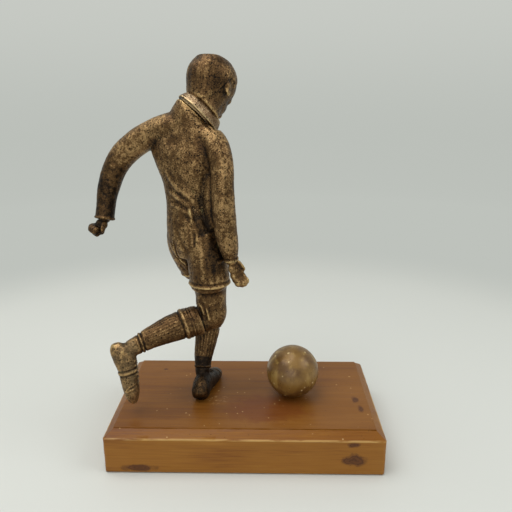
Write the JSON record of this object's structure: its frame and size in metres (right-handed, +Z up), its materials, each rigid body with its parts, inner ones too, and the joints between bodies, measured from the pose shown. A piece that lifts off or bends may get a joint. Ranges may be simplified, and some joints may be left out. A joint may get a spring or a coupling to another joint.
{
  "type": "football trophy",
  "caption": "Cast metal figure of a football player about to kick a ball, bolted with the ball to a bevelled rectangular wooden base.",
  "frame": {"origin": "centre of the flat underside of the base, on the surface that the trophy stands on", "axes": "+Z up, +X along the base's long side towards the ball, +Y from the front edge to the back edge"},
  "size_m": [0.1899, 0.1, 0.2509],
  "materials": {
    "stained_wood": "stained and varnished, satin, worn along the arris",
    "baize": "green wool baize, glued on",
    "brass_fixing": "bright turned brass",
    "steel_fixing": "plain steel",
    "ball_bronze": "semi-gloss olive-brown lacquered metal with small chips",
    "cast_brass": "pitted sand casting with dark brown patina, rubbed bright on the high places"
  },
  "bodies": {
    "root": {"base_board": "stained_wood", "felt_underlay": "baize", "figure_stud": "brass_fixing", "figure_washer": "steel_fixing", "figure_nut": "steel_fixing", "locating_peg": "brass_fixing", "ball_stud": "brass_fixing", "ball_washer": "steel_fixing", "ball_nut": "steel_fixing", "ball": "ball_bronze", "head": "cast_brass", "collar": "cast_brass", "torso": "cast_brass", "left_arm": "cast_brass", "right_arm": "cast_brass", "left_hand": "cast_brass", "right_hand": "cast_brass", "shorts": "cast_brass", "left_leg": "cast_brass", "left_boot": "cast_brass", "right_thigh": "cast_brass", "right_calf": "cast_brass", "right_boot": "cast_brass"}
  },
  "joints": []
}
